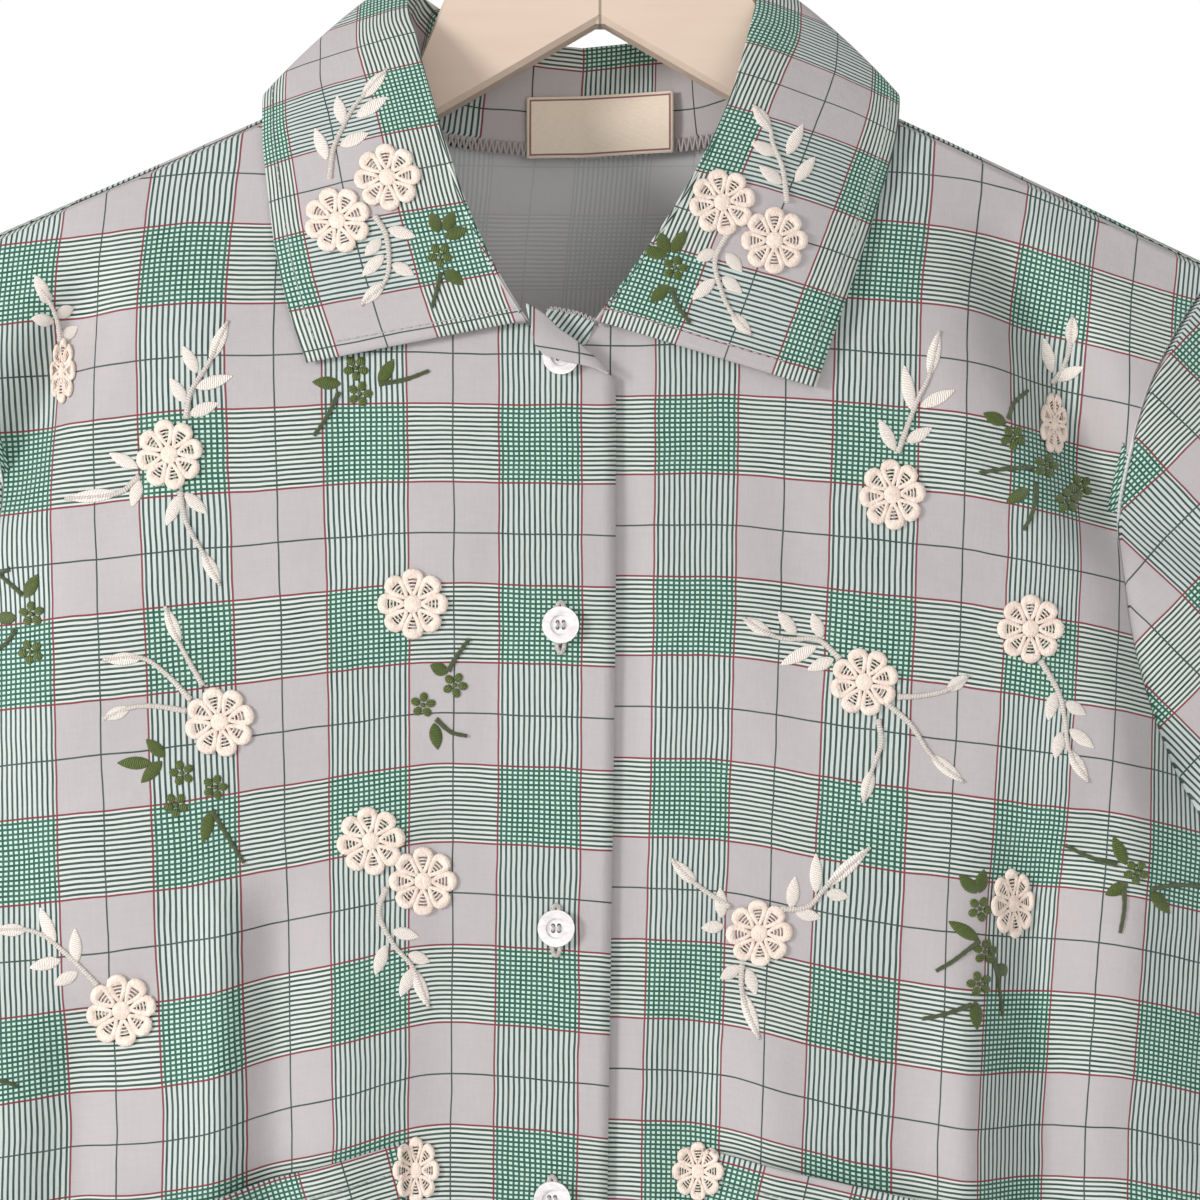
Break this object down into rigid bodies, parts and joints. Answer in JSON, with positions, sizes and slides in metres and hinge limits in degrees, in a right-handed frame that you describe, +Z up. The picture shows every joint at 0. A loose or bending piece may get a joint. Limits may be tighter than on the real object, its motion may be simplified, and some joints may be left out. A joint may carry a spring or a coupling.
{
  "type": "embroidered shirt on a hanger",
  "caption": "Short-sleeved checked shirt with pointed collar, lace flowers and patch pockets, buttoned up on a flat wooden hanger with a wire hook.",
  "frame": {"origin": "inner top of the hanger's hook, where a rail carries it", "axes": "+Z up, the shirt's front faces -Y, +X to the viewer's right"},
  "size_m": [0.768, 0.1117, 0.783],
  "materials": {
    "checked_cotton": "plain-woven light cotton in a green, lavender and white check",
    "lace": "thick cream guipure lace and satin stitch",
    "button": "pearly white resin",
    "label_ribbon": "bare woven ribbon with a stitched border",
    "painted_wood": "smooth cream paint",
    "hook_wire": "polished wire"
  },
  "bodies": {
    "root": {"front_left": "checked_cotton", "front_right": "checked_cotton", "back": "checked_cotton", "sleeve_left": "checked_cotton", "sleeve_right": "checked_cotton", "collar": "checked_cotton", "pocket_left": "checked_cotton", "pocket_right": "checked_cotton", "label": "label_ribbon", "button_1": "button", "button_2": "button", "button_3": "button", "button_4": "button", "button_5": "button", "button_6": "button", "flower_collar_left_upper": "lace", "flower_collar_left_lower": "lace", "flower_collar_right_upper": "lace", "flower_collar_right_lower": "lace", "flower_left_shoulder": "lace", "flower_left_chest": "lace", "flower_left_placket": "lace", "flower_left_side": "lace", "flower_left_pair_upper": "lace", "flower_left_pair_lower": "lace", "flower_left_waist": "lace", "flower_left_pocket": "lace", "flower_right_shoulder": "lace", "flower_right_chest": "lace", "flower_right_side": "lace", "flower_right_middle": "lace", "flower_right_hip": "lace", "flower_right_waist": "lace", "flower_right_pocket": "lace", "hanger_board": "painted_wood", "hanger_hook": "hook_wire"}
  },
  "joints": []
}
